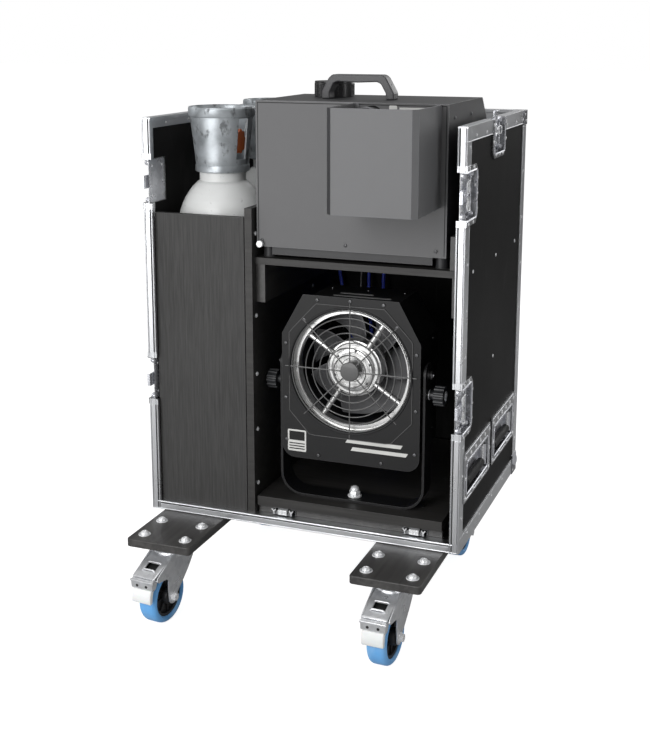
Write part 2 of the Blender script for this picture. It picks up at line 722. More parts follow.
def add_board_screws():
    """Bright screws in the dividing board, and the tray's own in its top."""
    bm = bmesh.new()
    face = case_box("divider_panel")[1].x
    for y, z in ((22, 72), (22, 176), (22, 281), (22, 390), (120, 458), (22, 540), (300, 72), (300, 390)):
        pan_screw(bm, at(face, y, z), X, 4.0, 2.0)
    new_piece("divider_screws", bm, "bright_zinc", "root")
    bm = bmesh.new()
    top = case_box("fan_tray")[1].z
    for x in RUNNER_XS:
        for y in (70, 220, 370):
            pan_screw(bm, at(x, y, top - 0.6), Z, 4.2, 1.2)
    new_piece("tray_screws", bm, "dark_steel", "tray")


def wall_matrix(name, y, z):
    """From millimetres out of a side wall, back along it and up, to the row frame."""
    side = -1 if name.startswith("left") else 1
    return Matrix.Translation(at(CASE_W if side > 0 else 0, y, z)) @ Matrix.Diagonal((side, 1, 1, 1))


def latch_matrix(name):
    """The same for a latch's own frame, y back from its rim and z along it."""
    centre = in_case(joint_at(name + "_latch_turn"))
    if name.endswith("top"):
        return wall_matrix(name, centre.y, CASE_H) @ Matrix.Rotation(-pi / 2, 4, "X")
    return wall_matrix(name, 0, centre.z)


def handle_matrix(name):
    centre = in_case(joint_at(name + "_grip_swing"))
    return wall_matrix(name, centre.y, centre.z)


def local(matrix, x, y, z):
    return matrix @ (Vector((x, y, z)) * MM)


def local_axis(matrix, axis):
    return (matrix.to_3x3() @ axis).normalized()


def local_tube(bm, matrix, points, radius, sides, closed=False):
    tube(bm, [local(matrix, *p) for p in points], radius, sides, closed)


def upright(bm, outline, thickness, place, x):
    """Adds a plate whose outline lies in the place's y-z plane, from x on, in millimetres."""
    turn = Matrix(((0, 0, 1, 0), (1, 0, 0, 0), (0, 1, 0, 0), (0, 0, 0, 1)))
    prism(bm, outline, thickness, place @ Matrix.Translation((x * MM, 0, 0)) @ turn)


LATCHES = ["left_upper", "left_lower", "right_upper", "right_lower", "right_top"]
TOP_SPINDLE = 23               # depth of the top latch's spindle below the rim


def add_latch_dish(name):
    """Pressed bead, inner riveted plate and flange rivets of a recessed latch dish."""
    place = latch_matrix(name)
    out = local_axis(place, X)
    bm = bmesh.new()
    bead = rounded_path([(1.4, 1, -40.5), (1.4, 62.5, -40.5), (1.4, 62.5, 40.5), (1.4, 1, 40.5)], 9)
    local_tube(bm, place, bead, 1.9, 8)
    groove = rounded_path([(-9.6, 1.5, -38.4), (-9.6, 61, -38.4), (-9.6, 61, 38.4), (-9.6, 1.5, 38.4)], 6)
    local_tube(bm, place, groove, 1.7, 10)
    new_piece(name + "_dish_bead", bm, "pressed_zinc", "root")
    bm = bmesh.new()
    upright(bm, rounded_rectangle(1.5, -30, 54, 30, 5), 0.9, place, -10.5)
    upright(bm, rounded_rectangle(1.5, -38.5, 58, 38.5, 4), 0.4, place, -12.45)
    new_piece(name + "_dish_plate", bm, "pressed_zinc", "root", bevel=0.15)
    bm = bmesh.new()
    for s in (-1, 1):
        for y in (5.5, 54):
            lathe(bm, [(0, -1), (5.4, -1), (5.4, 3), (5, 5.4), (3.4, 7.6), (0, 8.4)],
                  local(place, -10.4, y, s * 34), out, 24)
    new_piece(name + "_dish_corners", bm, "latch_steel", "root")
    bm = bmesh.new()
    for y in (47, 6):
        for z in (-23, 23):
            rivet(bm, local(place, -9.6, y, z), out, 2.3, 1.2)
    for y, z in ((10, 46), (40, 46), (64, 26), (64, 0), (64, -26), (40, -46), (10, -46)):
        rivet(bm, local(place, 1.5, y, z), out, 3.3, 2.0)
    for y in (13, 49):
        for z in (-27, 27):
            rivet(bm, local(place, -12.2, y, z), -out, 2.6, 1.2)
    new_piece(name + "_dish_rivets", bm, "bright_zinc", "root")


def add_latch(name):
    """Turning half of a butterfly latch: hook plate, drum, folded wings and their spring."""
    body = name + "_latch"
    place = latch_matrix(name)
    out = local_axis(place, X)
    axis_y = TOP_SPINDLE if name.endswith("top") else in_case(joint_at(name + "_latch_turn")).y
    bm = bmesh.new()
    nose = arc((axis_y, 0), 14, -58, 58, 12)
    hook = [(-12, -11), (-8, -12), (12, -12), *nose, (12, 12), (-8, 12), (-12, 11)]
    upright(bm, hook, 1.9, place, -8.9)
    block(bm, (-8.9, -12.9, -11), (-3.4, -11, 11), place)
    hub = local(place, -7.2, axis_y, 0)
    lathe(bm, [(0, 0), (13, 0), (13, 1.4), (11.5, 2.4), (9.6, 2.4), (8.8, 1.6), (5, 1.6), (4.6, 3.4),
               (2.8, 4.6), (0, 4.9)], hub, out, 28)
    lathe(bm, [(0, -3), (4.9, -3), (4.9, 0)], hub, out, 20)
    piece = new_piece(name + "_latch_hook", bm, "latch_steel", body, bevel=0.5)
    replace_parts(piece, name + "_latch")
    bm = bmesh.new()
    for s in (-1, 1):
        half_wing = [(-3.6, 5, 2), (-3.4, 7, 20), (-1.4, 6.4, 25)]
        wing = [(x, axis_y - y, s * z) for x, y, z in half_wing]
        wing += [(x, axis_y + y, s * z) for x, y, z in reversed(half_wing)]
        local_tube(bm, place, rounded_path(wing, 4), 1.35, 8)
        outline = [(axis_y + y, s * z) for y, z in ((-5.5, 6), (5.5, 6), (6.5, 20), (-6.5, 20))]
        upright(bm, outline, 0.9, place, -4.0)
    new_piece(name + "_latch_wings", bm, "bright_zinc", body, bevel=0.25)


HANDLES = ["left_front", "left_rear", "right_front", "right_rear"]
GRIP_DROP = 38                 # from a grip's pivot down to the middle of its bar
GRIP_INSET = 6                 # of the pivot, behind the wall's outer face


def add_handle_dish(name):
    """Bead round the recess, rivets and the two return springs of a spring handle."""
    place = handle_matrix(name)
    out = local_axis(place, X)
    bm = bmesh.new()
    low, high = -53, 7
    bead = [(1.2, *p) for p in rounded_rectangle(-81, low, 81, high, 8, 6)]
    local_tube(bm, place, bead, 2.0, 8, True)
    floor_bead = [(-11.8, *p) for p in rounded_rectangle(-77.2, low + 3.8, 77.2, high - 3.8, 7, 6)]
    local_tube(bm, place, floor_bead, 2.6, 8, True)
    rim_bead = [(1.3, *p) for p in rounded_rectangle(-93, -61, 93, 25, 5, 5)]
    local_tube(bm, place, rim_bead, 0.9, 6, True)
    new_piece(name + "_handle_bead", bm, "pressed_zinc", "root")
    bm = bmesh.new()
    upright(bm, rounded_rectangle(-75, low + 5, 75, high - 5, 5), 0.25, place, -14.45)
    for s in (-1, 1):
        wedge = [(-14.4, s * 71), (-14.4, s * 72), (-1, s * 78.4), (-1, s * 77.4)]
        prism(bm, wedge, 40, place @ Matrix.Translation((0, 0, -50 * MM)))
    new_piece(name + "_handle_floor", bm, "pressed_zinc", "root", bevel=0.1)
    bm = bmesh.new()
    for z, ys in ((17.5, (-87, -52, -17, 17, 52, 87)), (-56.5, (-87, -30, 30, 87)), (-20, (-88, 88))):
        for y in ys:
            rivet(bm, local(place, 1.5, y, z), out, 3.9, 2.3)
    new_piece(name + "_handle_rivets", bm, "bright_zinc", "root")
    bm = bmesh.new()
    radius, turns, steps, advance = 5.2, 4, 14, 0.14
    for s in (-1, 1):
        coil = []
        for i in range(turns * steps + 1):
            a = 2 * pi * i / steps
            coil.append((-GRIP_INSET + radius * cos(a), s * (58 - advance * i), radius * sin(a)))
        coil.append((-13.5, s * 50, -12))
        local_tube(bm, place, coil, 0.9, 6)
    new_piece(name + "_return_springs", bm, "dark_steel", "root")


def add_grip(name):
    """Bright wire bail with a ribbed rubber sleeve."""
    place = handle_matrix(name)
    body = name + "_grip"
    bm = bmesh.new()
    reach = 66
    bail = [(-GRIP_INSET, *p) for p in ((-77, 0), (-reach, 0), (-reach, -GRIP_DROP), (reach, -GRIP_DROP),
                                        (reach, 0), (77, 0))]
    local_tube(bm, place, rounded_path(bail, 7, 6), 3.45, 12)
    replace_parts(new_piece(name + "_grip_bail", bm, "bright_zinc", body), name + "_grip")
    bm = bmesh.new()
    profile = [(3.4, -57), (7.0, -57), (8.0, -55.6)]
    ribs, pitch = 18, 6
    for i in range(ribs):
        y = -54 + pitch * i
        profile += [(8.0, y), (8.0, y + 4.2), (7.3, y + 4.8), (7.3, y + 5.4)]
    profile += [(8.0, 55.6), (7.0, 57), (3.4, 57)]
    lathe(bm, profile, local(place, -GRIP_INSET, 0, -GRIP_DROP), Y, 24)
    new_piece(name + "_grip_sleeve", bm, "grip_rubber", body)


def add_ball_corners():
    """Rivets of the lower ball corners and upper braces, and the balls of the lower rear pair."""
    bm = bmesh.new()
    for side in (-1, 1):
        for inset, z in ((30, 5), (8, 31), (20, CASE_H - 8), (8, CASE_H - 21)):
            rivet(bm, on_side(side, CASE_W + SKIN, CASE_D - inset, z), X * side, 2.6, 1.2)
            rivet(bm, on_side(side, CASE_W - inset, CASE_D + SKIN, z), Y, 2.6, 1.2)
    new_piece("corner_rivets", bm, "bright_zinc", "root")
    bm = bmesh.new()
    radius, inset = 25, 18
    ball = [(radius * sin(pi * i / 18), -radius * cos(pi * i / 18)) for i in range(1, 18)]
    for side in (-1, 1):
        middle = on_side(side, CASE_W - inset, CASE_D - inset, 23)
        lathe(bm, [(0, -radius), *ball, (0, radius)], middle, Z, 36)
    new_piece("ball_corner_caps", bm, "latch_steel", "root")


def add_runner_fronts():
    """What shows of the telescopic runners under the tray: end blocks and bent stops."""
    bm = bmesh.new()
    stops = bmesh.new()
    for x in RUNNER_XS:
        block(bm, (x - 9, 9, 19.5), (x + 9, 14, 28.5), Matrix.Translation(CORNER))
        for s in (-1, 1):
            for points, radius in ((((17, 12, 19), (17, 11, 24.5), (21, 10.4, 29.5)), 1.3),
                                   (((17, 11, 24.5), (13.5, 10.4, 29.5)), 1.2)):
                stop = rounded_path([(x + s * across, y, z) for across, y, z in points], 2)
                tube(stops, [at(*p) for p in stop], radius, 8)
    new_piece("runner_end_blocks", bm, "bright_zinc", "tray", bevel=0.8)
    new_piece("runner_stops", stops, "bright_zinc", "tray")


# ---- castors ----

FORK_HALF = 23                 # half of the gap between a fork's cheeks
CHEEK_T = 3
AXLE = (-42, 50)               # wheel axis in a castor's own y and z
PEDAL = (-90, 96)              # brake pedal's hinge in the same plane


def castor_matrix(name):
    """Origin on the floor under the swivel axis, with the wheel towards -y."""
    swivel = joint_at(name + "_swivel")
    axle = Vector(joints[name + "_wheel_spin"]["axis"])
    return Matrix.Translation((swivel.x, swivel.y, 0)) @ Matrix.Rotation(atan2(axle.y, axle.x), 4, "Z")


def cheek_outline():
    """Pressed fork cheek in the y-z plane: wide crown, curved rear edge, leg down to the axle boss."""
    rear = [(34 - 50 * t ** 1.5, 126 - 62 * t) for t in (i / 8 for i in range(9))]
    boss = arc(AXLE, 13, 12, -170, 14)
    front = [(-57, 74), (-56, 86), (-62, 91)]
    nose = [(-86, 93), (-92, 98), (-90, 103), (-84, 106)]
    return rear + boss + front + nose + [(-40, 128), (28, 128)]


def add_fork(name, braked):
    place = castor_matrix(name)
    body = name + "_swivel"
    outline = cheek_outline() if braked else [p for p in cheek_outline() if p[0] > -60 or p[1] < 60]
    bm = bmesh.new()
    for s in (-1, 1):
        start = FORK_HALF if s > 0 else -FORK_HALF - CHEEK_T
        upright(bm, outline, CHEEK_T, place, start)
    block(bm, (-FORK_HALF, -34, 124.6), (FORK_HALF, 30, 127.9), place)
    piece = new_piece(name + "_fork_cheeks", bm, "castor_zinc", body, bevel=1.1, segments=3)
    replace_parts(piece, name + "_fork")
    bm = bmesh.new()
    lathe(bm, [(9, -0.8), (34, -0.8), (37, -2.5), (38, -6), (36.5, -9), (30, -10.5), (25, -14.5),
               (12, -15.5), (9, -15.5), (9, -0.8)], local(place, 0, 0, 129), Z, 48)
    new_piece(name + "_swivel_race", bm, "castor_zinc", body)
    bm = bmesh.new()
    lathe(bm, disc(5.2, -31.5, 31.5), local(place, 0, *AXLE), local_axis(place, X), 18)
    washer_t = 1.4
    for s in (-1, 1):
        across = local_axis(place, X * s)
        cheek = s * (FORK_HALF + CHEEK_T)
        lathe(bm, disc(9.5, 0, washer_t), local(place, cheek, *AXLE), across, 24)
        hexagon(bm, local(place, cheek + s * washer_t, *AXLE), across, 13, 5.5)
    lathe(bm, [(0, 0), (10.5, 0), (10.5, 3), (6.5, 4.5), (0, 4.5)], local(place, 0, 0, 110), -Z, 6)
    new_piece(name + "_axle", bm, "bright_zinc", body, bevel=0.4)
    if braked:
        add_apron(name, place, body)


def add_apron(name, place, body):
    """Sloping cover plate with its lipped window, bent across its width and down at both edges."""
    bm = bmesh.new()
    start, end = Vector((0, -33, 126)), Vector((0, -97, 102.5))
    rows, columns = 14, 12
    window_half, window_start, window_end = 12, 0.42, 0.72
    grid = []
    for i in range(rows + 1):
        t = i / rows
        middle = start.lerp(end, t)
        row = []
        for j in range(columns + 1):
            across = -FORK_HALF + 2 * FORK_HALF * j / columns
            sag = -4.0 * (1 - (across / FORK_HALF) ** 2) * max(0.0, 1 - t * 1.9)
            row.append(bm.verts.new(local(place, across, middle.y, middle.z + sag)))
        grid.append(row)
    for i in range(rows):
        for j in range(columns):
            t = (i + 0.5) / rows
            across = -FORK_HALF + 2 * FORK_HALF * (j + 0.5) / columns
            if not (abs(across) < window_half and window_start < t < window_end):
                bm.faces.new((grid[i][j], grid[i][j + 1], grid[i + 1][j + 1], grid[i + 1][j]))
    thicken(new_piece(name + "_apron", bm, "castor_zinc", body), 2.4, 0.6)
    bm = bmesh.new()
    slope = (end - start).normalized()
    for t, lift in ((0.42, 1.4), (0.74, 3.6)):
        middle = start.lerp(end, t)
        lip = [(x, middle.y, middle.z + rise) for x, rise in ((-14, -1), (-11, lift), (11, lift), (14, -1))]
        local_tube(bm, place, rounded_path(lip, 4), 1.7, 8)
    new_piece(name + "_window_lip", bm, "castor_zinc", body, bevel=0.4)
    bm = bmesh.new()
    under = facing(local(place, 0, start.y, start.z - 7), local_axis(place, X), local_axis(place, slope))
    prism(bm, rectangle(-22, 2, 22, 62), 1.2, under)
    new_piece(name + "_window_shadow", bm, "void_black", body)


def add_pedal(name):
    """Brake pedal: pressed hinge with two holes, and an off-white toe plate over the wheel."""
    place = castor_matrix(name)
    body = name + "_pedal"
    bm = bmesh.new()
    side = arc(PEDAL, 5, 80, -40, 8) + [(-91, 84), (-97.5, 82.5), (-102, 84), (-103.5, 97), (-99, 101.5)]
    upright(bm, side, 2 * FORK_HALF - 1, place, 0.5 - FORK_HALF)
    block(bm, (-24.2, -104, 96), (24.2, -100, 100), place)
    piece = new_piece(name + "_pedal_hinge", bm, "castor_zinc", body, bevel=1.2, segments=3)
    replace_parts(piece, name + "_brake_pedal")
    bm = bmesh.new()
    for x in (-9.5, 9.5):
        lathe(bm, disc(2.6, 0, 0.5), local(place, x, -102.6, 90), local_axis(place, -Y), 16)
    new_piece(name + "_pedal_holes", bm, "void_black", body)
    bm = bmesh.new()
    inner = [(-93 - 5.2 * sin(pi * t / 2), 83.5 - 25.5 * t) for t in (0.25, 0.5, 0.75, 1)]
    toe = [(-92.5, 83.5), *inner, (-104.5, 57.6), (-107, 62), (-106, 74), (-103.5, 83.5)]
    upright(bm, toe, 40, place, -20)
    new_piece(name + "_pedal_toe", bm, "pedal_plastic", body, bevel=2.2, segments=4)


def add_hub_faces(name):
    """Ribbed web and bearing cap on both sides of a hub."""
    place = castor_matrix(name)
    centre = local(place, 0, *AXLE)
    bm = bmesh.new()
    for s in (-1, 1):
        across = local_axis(place, X * s)
        lathe(bm, [(34, 8), (34, 12.6), (36.5, 13.8), (38.5, 13.4), (38.5, 8)], centre, across, 48)
        lathe(bm, [(7, 8), (15.5, 8), (15.5, 18), (14.6, 20), (9, 20), (8, 18.8), (7, 18.8)],
              centre, across, 32)
        turn = Z.rotation_difference(across).to_matrix().to_4x4()
        for k in range(8):
            spoke = Matrix.Translation(centre) @ turn @ Matrix.Rotation(2 * pi * k / 8, 4, "Z")
            block(bm, (14, -1.1, 7), (35, 1.1, 10.6), spoke)
    new_piece(name + "_hub_faces", bm, "castor_hub", name + "_wheel", bevel=0.4)


def add_castor_boards():
    """The two castor boards with their corners and edges eased."""
    low, high = case_box("castor_boards")
    bm = bmesh.new()
    for name in ("front_left", "front_right"):
        middle = in_case(joint_at(name + "_swivel")).x
        half = middle - low.x if name == "front_left" else high.x - middle
        outline = rounded_rectangle(middle - half, low.y, middle + half, high.y, 7, 6)
        prism(bm, outline, high.z - low.z, Matrix.Translation(at(0, 0, low.z)))
    piece = new_piece("castor_boards_eased", bm, "painted_wood", "root", bevel=1.8, segments=3)
    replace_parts(piece, "castor_boards")


def add_bolt_details():
    """Sockets in the domed heads of the front castors' bolts."""
    bm = bmesh.new()
    for name in ("front_left", "front_right"):
        swivel = in_case(joint_at(name + "_swivel"))
        for dx in (-41, 41):
            for dy in (-33, 33):
                place = at(swivel.x + dx, swivel.y + dy, 0)
                lathe(bm, [(7.4, 1.4), (7.4, 2.0), (6.9, 4.4), (5.0, 6.3), (3.1, 6.9), (2.7, 5.2), (0, 5.0)],
                      place, Z, 20)
                lathe(bm, [(6.4, 1.5), (10.6, 1.5), (11.2, 0.9), (11.2, 0)], place, Z, 28)
    new_piece("bolt_heads", bm, "bright_zinc", "root")


# ---- stage fan ----

FAN_TILT = in_case(joint_at("fan_tilt"))
FAN_X, FAN_Z = FAN_TILT.x, FAN_TILT.z
PIVOT_Y = 30                   # tilt axis behind the front face of the fan's plate
FAN_FACE = FAN_TILT.y - PIVOT_Y
GUARD_RADII = [30, 43.5, 57, 70.5, 84, 97.5, 111]


def fan_at(x, y, z):
    """A point from the fan's middle, with y from its front face."""
    return at(FAN_X + x, FAN_FACE + y, FAN_Z + z)


def circle_points(radius, y, count=72):
    return [fan_at(radius * cos(2 * pi * i / count), y, radius * sin(2 * pi * i / count))
            for i in range(count)]


def add_wire_guard(name, y, direction, reach):
    """Welded round-wire guard: rings, eight spokes with flattened ends and a centre disc."""
    bm = bmesh.new()
    for radius in GUARD_RADII:
        tube(bm, circle_points(radius, y), 1.15, 8, True)
    for k in range(8):
        a = pi * k / 4
        tube(bm, [fan_at(r * cos(a), y, r * sin(a)) for r in (18, reach)], 1.25, 8)
    piece = new_piece(name, bm, "fan_wire", "fan")
    bm = bmesh.new()
    lathe(bm, [(0, 2.6), (13, 2.5), (16.8, 1.9), (17.6, 0.9), (17.6, -0.6), (0, -0.6)],
          fan_at(0, y, 0), direction, 40)
    new_piece(name + "_disc", bm, "fan_wire", "fan")
    return piece


def octagon_point(angle):
    """Point of the raised frame's edge at an angle in radians. No angle may point straight along an axis."""
    c, s = cos(angle), sin(angle)
    right, across, chamfer = 116, 119 if s > 0 else 126, 175 if s > 0 else 193.5
    radius = min(right / abs(c), across / abs(s), chamfer / (abs(c) + 0.93 * abs(s)))
    return radius * c, radius * s


def add_fan_front():
    """Raised frame round the duct, its screws, and the plain stickers."""
    count = 96
    angles = [2 * pi * (i + 0.5) / count for i in range(count)]
    plane = facing(fan_at(0, 0, 0), X, Z)
    outer = [octagon_point(a) for a in angles]
    inner = [(113.4 * cos(a), 113.4 * sin(a)) for a in angles]
    bm = bmesh.new()
    plate_with_hole(bm, outer, inner, 1.5, plane)
    new_piece("fan_raised_frame", bm, "fan_body_paint", "fan", bevel=0.6, smooth=20)
    bm = bmesh.new()
    tube(bm, circle_points(115.2, -1.3, 96), 1.9, 10, True)
    new_piece("fan_duct_lip", bm, "fan_body_paint", "fan")
    bm = bmesh.new()
    tube(bm, [fan_at(x, -1.1, z) for x, z in outer], 0.75, 6, True)
    new_piece("fan_frame_edge", bm, "fan_wire", "fan")
    bm = bmesh.new()
    for x, z in ((62, 126), (-62, 126), (0, 128), (123, 42), (-123, 42), (123, -60), (-123, -60),
                 (122, -140), (-122, -140), (60, -164), (-60, -164), (87, 88), (-87, 88)):
        pan_screw(bm, fan_at(x, 0, z), -Y, 3.3, 2.0)
    for x in (-70, 0, 70):
        for y in (24, 100):
            pan_screw(bm, fan_at(x, y, 127), Z, 3.0, 1.8)
    for z in (-120, -60, 50):
        for y in (22, 100):
            for s in (-1, 1):
                pan_screw(bm, fan_at(s * 123.5, y, z), X * s, 3.0, 1.8)
    new_piece("fan_screws", bm, "dark_steel", "fan")
    bm = bmesh.new()
    for x0, x1, y in ((-48, 62, 40), (-42, 22, 62)):
        plane_top = facing(fan_at(0, 0, 127), X, Y)
        prism(bm, rounded_rectangle(x0, y, x1, y + 7, 3.4), 0.9, plane_top)
    new_piece("fan_top_ribs", bm, "grey_print", "fan", bevel=0.3)
    bm = bmesh.new()
    plate_plane = facing(fan_at(0, -0.05, 0), X, Z)
    prism(bm, rounded_rectangle(-120, -161, -84, -120, 2.5), 0.35, plate_plane)
    new_piece("fan_sticker", bm, "pale_print", "fan")
    bm = bmesh.new()
    sticker = facing(fan_at(0, -0.45, 0), X, Z)
    for low, high in ((-140, -123), (-147, -145), (-152, -150), (-157, -155)):
        prism(bm, rectangle(-117, low, -87, high), 0.2, sticker)
    new_piece("fan_sticker_print", bm, "void_black", "fan")
    bm = bmesh.new()
    for i, (x0, x1) in enumerate(((-8, 96), (2, 106))):
        z = -133 - 14 * i
        prism(bm, [(x0, z), (x1, z), (x1 + 4, z + 7), (x0 + 4, z + 7)], 0.3, plate_plane)
    new_piece("fan_stripes", bm, "pale_print", "fan")


def add_motor_face():
    """Turned front of the motor: bright stepped rings, screws in the mounting ring, bright duct lip."""
    bm = bmesh.new()
    profile = [(0, 15.2), (21, 15.2), (22, 13.6), (28.5, 13.6), (29.4, 15), (31, 15), (32, 13.4),
               (38.5, 13.4), (40.2, 14.6), (40.6, 19), (46, 19), (47.6, 20.4), (48, 24), (51, 24.6),
               (51.6, 27), (51.6, 50), (46, 54), (0, 54)]
    lathe(bm, profile, fan_at(0, 0, 0), Y, 64)
    strut_y, duct_r, screw_r = 24, 111, 35.4
    for angle in (57, 147, -123, -33):
        a = radians(angle)
        c, s = cos(a), sin(a)
        tube(bm, [fan_at(r * c, strut_y, r * s) for r in (48, 60, 104, duct_r)], 5.4, 14)
        foot = fan_at(duct_r * c, strut_y, duct_r * s)
        lathe(bm, [(0, 0), (7, 0), (7, 3), (5.4, 4.5), (0, 4.5)], foot, (-c, 0, -s), 20)
    new_piece("motor_face", bm, "motor_metal", "fan")
    bm = bmesh.new()
    for k in range(6):
        a = radians(20 + 60 * k)
        pan_screw(bm, fan_at(screw_r * cos(a), 13.4, screw_r * sin(a)), -Y, 2.4, 1.6)
    new_piece("motor_screws", bm, "dark_steel", "fan")
    bm = bmesh.new()
    lathe(bm, [(111.9, 6), (111.4, 7), (110.9, 10), (110.9, 40), (111.9, 44)], fan_at(0, 0, 0), Y, 96)
    new_piece("duct_lining", bm, "duct_metal", "fan")


def add_impeller():
    """Moulded axial impeller: domed hub and seven twisted blades."""
    low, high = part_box("fan_impeller")
    centre = Vector((at(FAN_X, 0, 0).x, (low[1] + high[1]) / 2, at(0, 0, FAN_Z).z))
    bm = bmesh.new()
    lathe(bm, [(5.2, -21), (30, -22), (38, -20), (40, -15), (40, 20), (37, 22.5), (0, 22.8), (0, -10),
               (5.2, -10), (5.2, -21)], centre, Y, 56)
    hub = new_piece("impeller_hub", bm, "impeller_plastic", "impeller")
    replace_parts(hub, "fan_impeller")
    bm = bmesh.new()
    blades, rows, columns, flatness = 7, 8, 8, 0.82
    for k in range(blades):
        turn = Matrix.Rotation(2 * pi * k / blades, 3, "Y")
        grid = []
        for i in range(rows + 1):
            t = i / rows
            radius = 38.5 + 65 * t
            pitch = radians(52 - 24 * t)
            chord = 56 + 32 * t
            sweep = radians(14 * t * t)
            row = []
            for j in range(columns + 1):
                u = j / columns - 0.5
                camber = 5.5 * (1 - 4 * u * u)
                along = u * chord * cos(pitch) - camber * sin(pitch)
                axial = u * chord * sin(pitch) + camber * cos(pitch)
                angle = along / radius + sweep
                point = Vector((radius * cos(angle) * MM, axial * flatness * MM,
                                radius * sin(angle) * MM))
                row.append(bm.verts.new(centre + turn @ point))
            grid.append(row)
        bridge(bm, grid, False)
    thicken(new_piece("impeller_blades", bm, "impeller_plastic", "impeller"), 2.2, 0.8)


def add_yoke_hardware():
    """Bolt and washer through the yoke, nuts on its pivots, washers and bosses of the clamp knobs."""
    bm = bmesh.new()
    foot = at(FAN_X, FAN_TILT.y, in_case(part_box("fan_yoke")[0]).z + 4)
    lathe(bm, [(0, 0), (13, 0), (13, 2.4), (12, 3), (7, 3), (0, 3)], foot, Z, 40)
    hexagon(bm, foot + Z * 3 * MM, Z, 18, 8)
    lathe(bm, [(6, 10.6), (8.4, 11), (8.3, 14), (6.9, 17.4), (3.8, 19.6), (0, 20.3)], foot, Z, 28)
    new_piece("yoke_bolt", bm, "bright_zinc", "tray", bevel=0.5)
    bm = bmesh.new()
    arm = 137.5
    for s in (-1, 1):
        place = fan_at(s * (arm + 0.2), PIVOT_Y, 0)
        lathe(bm, [(4.2, 0), (11, 0), (11, 1.2), (4.2, 1.2)], place, X * s, 32)
        hexagon(bm, place + X * s * 1.2 * MM, X * s, 13, 6.4)
        lathe(bm, [(0, 7), (4, 7), (4, 9.4), (3.2, 10), (0, 10)], place, X * s, 18)
    new_piece("pivot_nuts", bm, "dark_steel", "fan", bevel=0.3)
    for side, s in (("left", -1), ("right", 1)):
        bm = bmesh.new()
        place = fan_at(s * (arm + 1.2), PIVOT_Y, -36)
        lathe(bm, [(4.1, 0), (9.5, 0), (9.5, 1.4), (8.2, 1.6), (4.1, 1.6)], place, X * s, 28)
        lathe(bm, [(0, 29), (7, 29), (9, 30.2), (6, 31), (0, 31.2)], place, X * s, 28)
        new_piece(side + "_knob_inserts", bm, "bright_zinc", side + "_knob")


# ---- fog generator ----

GEN = case_box("generator_cover")
PANEL = case_box("generator_front_panel")
CHUTE = case_box("deflector_chute")


def add_generator_details():
    """Screws, seam, vents and plain print of the cover and panel, the chute's hem, the nozzle's collar."""
    top, low = PANEL[1].z, PANEL[0].z
    front = PANEL[0].y
    face = facing(at(0, front, 0), X, Z)
    bm = bmesh.new()
    for x in (PANEL[0].x + 10, 382, PANEL[1].x - 18):
        pan_screw(bm, at(x, front, low + 11), -Y, 3.1, 1.7)
    for y in (60, 170, 280):
        for z in (low + 14, top - 24):
            for s, x in ((-1, GEN[0].x), (1, GEN[1].x)):
                if y < 250 or z < 600:      # none at the upper rear corners
                    pan_screw(bm, at(x, y, z), X * s, 3.0, 1.6)
    new_piece("generator_screws", bm, "dark_steel", "root")
    bm = bmesh.new()
    lathe(bm, [(0, 0), (3, 0), (3, 2), (5.6, 2.4), (6.2, 3.4), (6.2, 8), (5.4, 9), (0, 9.3)],
          at(PANEL[0].x + 8, front, low + 5), -Y, 24)
    new_piece("bonding_screw", bm, "bright_zinc", "root")
    bm = bmesh.new()
    x0, x1 = PANEL[0].x, PANEL[1].x
    for seam in ((x0 + 3, low + 3, x0 + 4.2, top - 3), (x1 - 4.2, low + 3, x1 - 3, top - 3),
                 (x0 + 3, top - 4.2, x1 - 3, top - 3)):
        prism(bm, rectangle(*seam), 0.25, face)
    new_piece("panel_seam", bm, "void_black", "root")
    bm = bmesh.new()
    low_corner, chamfer, lift = CHUTE[0], 9, 0.25
    hem = [(low_corner.x - lift, low_corner.y + chamfer), (low_corner.x + chamfer, low_corner.y - lift),
           (low_corner.x + chamfer, low_corner.y), (low_corner.x, low_corner.y + chamfer)]
    prism(bm, hem, CHUTE[1].z - low_corner.z, Matrix.Translation(at(0, 0, low_corner.z)))
    new_piece("chute_hem", bm, "generator_paint", "root")
    bm = bmesh.new()
    prism(bm, rounded_rectangle(CHUTE[0].x + 62, top - 15, CHUTE[0].x + 76, top - 4, 2), 0.5, face)
    prism(bm, rectangle(CHUTE[0].x + 80, top - 13, CHUTE[1].x - 24, top - 7), 0.4, face)
    new_piece("panel_print", bm, "pale_print", "root")
    bm = bmesh.new()
    low_block, high_block = case_box("heat_exchanger")
    nozzle = Vector(((low_block.x + high_block.x) / 2, low_block.y, high_block.z))
    lathe(bm, [(18.2, 0), (22.6, -0.8), (24, 1), (24, 5), (22.4, 6.4), (22.4, 24)],
          at(nozzle.x, nozzle.y, nozzle.z - 22), Y, 40)
    new_piece("nozzle_collar", bm, "dark_steel", "root")
    bm = bmesh.new()
    vents, pitch, width, vent_low, vent_high = 9, 13, 5, 560, 620
    for i in range(vents):
        for s, x in ((-1, GEN[0].x), (1, GEN[1].x)):
            plane = facing(at(x, 0, 0), Y * s, Z)
            y0, y1 = sorted((s * (130 + pitch * i), s * (130 + pitch * i + width)))
            prism(bm, rounded_rectangle(y0, vent_low, y1, vent_high, 2.4), 0.35, plane)
    new_piece("side_vents", bm, "void_black", "root")


